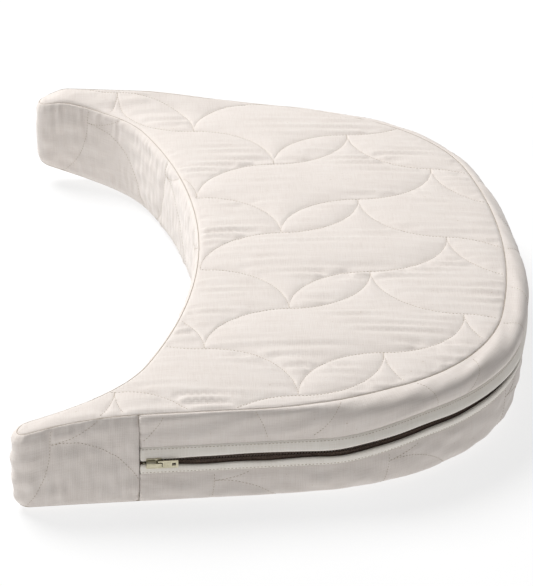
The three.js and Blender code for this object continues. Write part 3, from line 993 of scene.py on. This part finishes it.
def tube(name, path, radius, sides):
    return make(name, *wire(path, radius, sides))


nylon = dyed_nylon()
for name, way in (("upper", 1), ("lower", -1)):
    near_level = ZIP_LEVEL + way * 0.5
    far_level = ZIP_LEVEL + way * (3.2 - COIL_WIRE)
    turns = int(2 * (ZIP_END - 4) / COIL_PITCH)
    angle = np.arange(0, turns * 2 * math.pi, math.pi / 4)
    walk = -ZIP_END + 4 + COIL_PITCH * angle / (2 * math.pi) + (COIL_PITCH / 2 if way < 0 else 0)
    swing = np.clip(1.25 * np.cos(angle), -1, 1)
    depth = (COIL_OUT + COIL_IN) / 2 + (COIL_IN - COIL_OUT) / 2 * np.clip(1.4 * np.sin(angle), -1, 1)
    level = (near_level + far_level) / 2 + (near_level - far_level) / 2 * swing + zip_rise(walk)
    here = around(walk)
    path = np.c_[here[:, :2] - here[:, 2:] * depth[:, None], level]
    coil = tube(f"{name}_coil", path, COIL_WIRE, COIL_SIDES)
    coil.data.materials.append(nylon)
    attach(coil, "pillow")
    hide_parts(f"{name}_zip_coil")

# ---- The zip's metal: stops, slider and puller ----
# Zinc castings plated a warm nickel. The body runs on the chain, the crown is the bridge on its
# back, and the puller's eye turns in the crown. Their edges are tumbled round.


def plated_zinc():
    """Zinc, cast and plated with nickel: a warm satin metal with fine handling marks."""
    made, tree, shader = begin("zinc_cast_nickel_plated")
    place = add(tree, "ShaderNodeTexCoord").outputs["Object"]
    drift = add(tree, "ShaderNodeTexNoise", {"Vector": place, "Scale": 240.0, "Detail": 4.0})
    tint = colours(tree, drift.outputs["Fac"], (0.3, "#b9b299"), (0.7, "#d6d0b8"))
    marks = add(tree, "ShaderNodeTexNoise", {
        "Vector": place, "Scale": 900.0, "Detail": 5.0, "Roughness": 0.7})
    rough = add(tree, "ShaderNodeMapRange", {
        "Value": marks.outputs["Fac"], "To Min": 0.26, "To Max": 0.48})
    bump = add(tree, "ShaderNodeBump", {
        "Height": marks.outputs["Fac"], "Strength": 0.25, "Distance": 0.0001})
    tree.links.new(tint, shader.inputs["Base Color"])
    tree.links.new(rough.outputs["Result"], shader.inputs["Roughness"])
    tree.links.new(bump.outputs["Normal"], shader.inputs["Normal"])
    shader.inputs["Metallic"].default_value = 1.0
    return made


plated = plated_zinc()
METAL = {"upper_top_stop": 0.25, "lower_top_stop": 0.25, "bottom_stop": 0.25,
         "slider_body": 0.3, "slider_crown": 0.7, "puller": 0.28}
for name, rounding in METAL.items():
    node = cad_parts[name]
    weld = node.modifiers.new("weld", "WELD")
    weld.merge_threshold = 0.01 * MM
    edge = node.modifiers.new("tumbled", "BEVEL")
    edge.width = rounding * MM
    edge.segments = 3
    edge.limit_method = "ANGLE"
    edge.angle_limit = math.radians(32)
    node.data.materials.clear()
    node.data.materials.append(plated)

# The grip is five low ribs cast across the puller's face, between its eye and its slot.
GRIP_RIBS = 5
GRIP_STEP = 1.2
GRIP_START = -3.1       # from the middle of the puller
RIB_REACH = 2.5
RIB_RADIUS = 0.36
RIB_OUT = 0.48          # the middle of a rib lies this far out from the middle of the puller
puller_low, puller_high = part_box("puller")
middle = (np.array(puller_low) + np.array(puller_high)) / 2 / MM
out = around(np.array([25 - ZIP_END]))[0, 2:]
forward = np.array([-out[1], out[0]])
share = np.linspace(-1, 1, 9)
points, faces = [], []
for rib in range(GRIP_RIBS):
    spot = middle[:2] + forward * (GRIP_START + GRIP_STEP * rib) + out * RIB_OUT
    path = np.c_[np.tile(spot, (len(share), 1)), middle[2] + RIB_REACH * share]
    rib_points, rib_faces = wire(path, RIB_RADIUS * np.sqrt(1.02 - share ** 4), 12)
    faces += [tuple(i + len(points) for i in face) for face in rib_faces]
    points += list(rib_points)
grip = make("puller_grip", points, faces)
grip.data.materials.append(plated)
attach(grip, "zip_puller")

# ---- The sewing thread ----
# Spun cotton thread in short stitches with a gap between: along every quilting line, and in
# one row on each of the zip's facings.
STITCH = 2.3            # length of a stitch
STITCH_PITCH = 3.2      # from one stitch to the next
THREAD = 0.24
STITCH_RISE = 0.1       # the thread's middle stands this far out of the cloth
STITCH_DIVE = 0.25      # and its ends go this far in


def spun_thread(name, light, dark):
    """Cotton thread, spun and waxed: two plies twisted, with a faint shine."""
    made, tree, shader = begin(name)
    place = add(tree, "ShaderNodeTexCoord").outputs["Object"]
    ply = add(tree, "ShaderNodeTexNoise", {"Vector": place, "Scale": 1500.0, "Detail": 2.0})
    tint = colours(tree, ply.outputs["Fac"], (0.35, dark), (0.65, light))
    bump = add(tree, "ShaderNodeBump", {
        "Height": ply.outputs["Fac"], "Strength": 0.5, "Distance": 0.0001})
    tree.links.new(tint, shader.inputs["Base Color"])
    tree.links.new(bump.outputs["Normal"], shader.inputs["Normal"])
    shader.inputs["Roughness"].default_value = 0.6
    shader.inputs["Sheen Weight"].default_value = 0.3
    shader.inputs["IOR"].default_value = 1.53
    return made


def stitches(name, cloth, rows):
    """Stitches on a piece of cloth. Each row is (points above the cloth, directions to it)."""
    tree = BVHTree.FromPolygons(
        get_points(cloth).tolist(), [tuple(p.vertices) for p in cloth.data.polygons])
    points, faces = [], []
    sides = 5
    turn = np.linspace(0, 2 * math.pi, sides, endpoint=False)
    for above, towards in rows:
        length = np.r_[0, np.cumsum(np.linalg.norm(np.diff(above, axis=0), axis=1))]
        for start in np.arange(STITCH_PITCH / 2, length[-1] - STITCH, STITCH_PITCH):
            marks = start + STITCH * np.array([0, 0.25, 0.75, 1])
            spots = np.stack([np.interp(marks, length, c) for c in above.T], -1)
            ways = np.stack([np.interp(marks, length, c) for c in towards.T], -1)
            hits = []
            for spot, way in zip(spots, ways):
                hit = tree.ray_cast(Vector(spot), Vector(way).normalized(), 30)
                if hit[0] is None:
                    break
                hits.append(np.array(hit[0]))
            if len(hits) < 4:
                continue
            hits = np.array(hits)
            way = ways[1] / np.linalg.norm(ways[1])
            along = hits[3] - hits[0]
            size = np.linalg.norm(along)
            if size < STITCH * 0.5 or size > STITCH * 1.8:
                continue
            along /= size
            side = np.cross(along, way)
            side /= np.linalg.norm(side)
            base = len(points)
            rises = (-STITCH_DIVE, STITCH_RISE, STITCH_RISE, -STITCH_DIVE)
            for spot, girth, rise in zip(hits, (0.35, 1, 1, 0.35), rises):
                centre = spot - way * rise
                for t in turn:
                    points.append(centre + THREAD * girth * (math.cos(t) * side - math.sin(t) * way))
            faces += strips(4, sides, closed=True, start=base)
            faces.append(tuple(range(base, base + sides))[::-1])
            faces.append(tuple(range(base + 3 * sides, base + 4 * sides)))
    piece = make(name, np.array(points), faces)
    piece.data.materials.append(shade_darkened_thread)
    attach(piece, "pillow")


# The stitches' thread has its own taupe tone, made darker: the darkening is painted shade, standing
# for the dark of the stitch holes and of the gaps that the stitches lie in.
shade_darkened_thread = spun_thread("cotton_thread_spun", "#cdc0ad", "#a99b87")
edge_walk = np.arange(0, ROUND, 4.0)
inside_edge = ring(edge_walk, 4.5 + 15 * fullness(around(edge_walk)[:, 0]), 0)
for piece, lines, start, way, label in (
        (top_panel, top_lines, 110, (0, 0, -1.0), "top"),
        (bottom_panel, bottom_lines, -15, (0, 0, 1.0), "bottom")):
    rows = []
    for line in lines:
        line = even(line, ROW_STEP)
        inside = within(line, inside_edge[:, :2])
        cuts = np.where(np.diff(inside.astype(int)))[0] + 1
        for part, shown in zip(np.split(line, cuts), np.split(inside, cuts)):
            if shown[0] and len(part) > SHORTEST_ROW:
                above = np.c_[part, np.full(len(part), start)]
                rows.append((above, np.tile(way, (len(part), 1))))
    stitches(f"quilting_thread_{label}", piece, rows)
stitches("quilting_thread_border", inner_border, border_rows)
stitches("quilting_thread_upper_band", upper_band, upper_rows)
stitches("quilting_thread_lower_band", lower_band, lower_rows)

# The top and bottom seams are closed with one thick thread that lies in their crease. Its dark colour
# is painted shade, standing for the shadow down in the crease.
SEAM_SHADE_RADIUS = 0.42
# These dark thread colours are painted shade of the seam's crease.
painted_seam_shade = spun_thread("thick_thread_painted_seam_shade", "#a3947f", "#8a7a66")
seam_walk = np.linspace(0, ROUND, 620)
thread_x, thread_y = around(seam_walk)[:, :2].T
for label, inset, level in (
        ("top", top_inset(thread_x), top_level(thread_x, thread_y) - 0.3),
        ("bottom", under_inset(thread_x), under_level(thread_x, thread_y) + 0.3)):
    thread = tube(f"painted_seam_shade_{label}", ring(seam_walk, inset + 0.1, level), SEAM_SHADE_RADIUS, 6)
    thread.data.materials.append(painted_seam_shade)
    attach(thread, "pillow")

for name, level in (("upper", UPPER_FOOT - 1.6), ("lower", LOWER_HEAD + 1.6)):
    here = around(zip_walk)
    above = np.c_[here[:, :2] + here[:, 2:] * 12, level + zip_lift]
    towards = np.c_[-here[:, 2:], np.zeros(len(here))]
    facing = bpy.data.objects[f"{name}_facing_strip"]
    stitches(f"topstitch_{name}_facing", facing, [(above, towards)])

# ---- The floor, the lights and the camera ----
# A sheet of white acrylic, lit faintly from beneath so that shadows stay pale, with a wide
# soft light above and behind on the left, a weak one at the front left, and an even sky.
FLOOR_REACH = 40
floor_mesh = bpy.data.meshes.new("floor")
reach = FLOOR_REACH / 2
floor_mesh.from_pydata(
    [(-reach, -reach, 0), (reach, -reach, 0), (reach, reach, 0), (-reach, reach, 0)],
    [], [(0, 1, 2, 3)])
floor = bpy.data.objects.new("floor", floor_mesh)
bpy.context.scene.collection.objects.link(floor)
paint, tree, shader = begin("opal_acrylic_cast")
grain = add(tree, "ShaderNodeTexNoise", {
    "Vector": add(tree, "ShaderNodeTexCoord").outputs["Object"], "Scale": 3.0, "Detail": 2.0})
tint = colours(tree, grain.outputs["Fac"], (0.3, "#888888"), (0.7, "#8a8a8a"))
tree.links.new(tint, shader.inputs["Base Color"])
tree.links.new(tint, shader.inputs["Emission Color"])
shader.inputs["Emission Strength"].default_value = 3.0
shader.inputs["Roughness"].default_value = 0.9
shader.inputs["Specular IOR Level"].default_value = 0.0
floor.data.materials.append(paint)

world = bpy.data.worlds.new("sky")
world.use_nodes = True
world.node_tree.nodes["Background"].inputs["Color"].default_value = (1, 1, 1, 1)
world.node_tree.nodes["Background"].inputs["Strength"].default_value = 0.2
bpy.context.scene.world = world


def soft_light(name, place, size, power):
    lamp = bpy.data.lights.new(name, "AREA")
    lamp.shape = "DISK"
    lamp.size = size
    lamp.energy = power
    held = bpy.data.objects.new(name, lamp)
    held.location = place
    held.rotation_mode = "QUATERNION"
    held.rotation_quaternion = (Vector((0, 0, 0.05)) - Vector(place)).to_track_quat("-Z", "Y")
    bpy.context.scene.collection.objects.link(held)


soft_light("key", (-2.2, 2.4, 4.5), 3.4, 345)
soft_light("fill", (-4.0, -1.6, 1.6), 2.5, 30)

SIDEWAYS = -0.0531      # how far round the camera stands, in radians
LOOKING_DOWN = 0.4869
ROLL = 0.0189
CAMERA_DISTANCE = 2.6847
AIM = Vector((-0.00283, 0.06275, 0))
SENSOR = 36
LENS = 165.9
back = Vector((math.sin(SIDEWAYS) * math.cos(LOOKING_DOWN),
               -math.cos(SIDEWAYS) * math.cos(LOOKING_DOWN), math.sin(LOOKING_DOWN)))
right = Vector((math.cos(SIDEWAYS), math.sin(SIDEWAYS), 0))
up = back.cross(right)
across = right * math.cos(ROLL) + up * math.sin(ROLL)
upward = up * math.cos(ROLL) - right * math.sin(ROLL)
lens = bpy.data.cameras.new("camera")
lens.lens = LENS
lens.sensor_width = SENSOR
lens.clip_start = 0.05
lens.clip_end = 100
camera = bpy.data.objects.new("camera", lens)
camera.matrix_world = Matrix((
    (across.x, upward.x, back.x, AIM.x + back.x * CAMERA_DISTANCE),
    (across.y, upward.y, back.y, AIM.y + back.y * CAMERA_DISTANCE),
    (across.z, upward.z, back.z, AIM.z + back.z * CAMERA_DISTANCE),
    (0, 0, 0, 1)))
bpy.context.scene.collection.objects.link(camera)
bpy.context.scene.camera = camera
bpy.context.scene.view_settings.view_transform = "Standard"
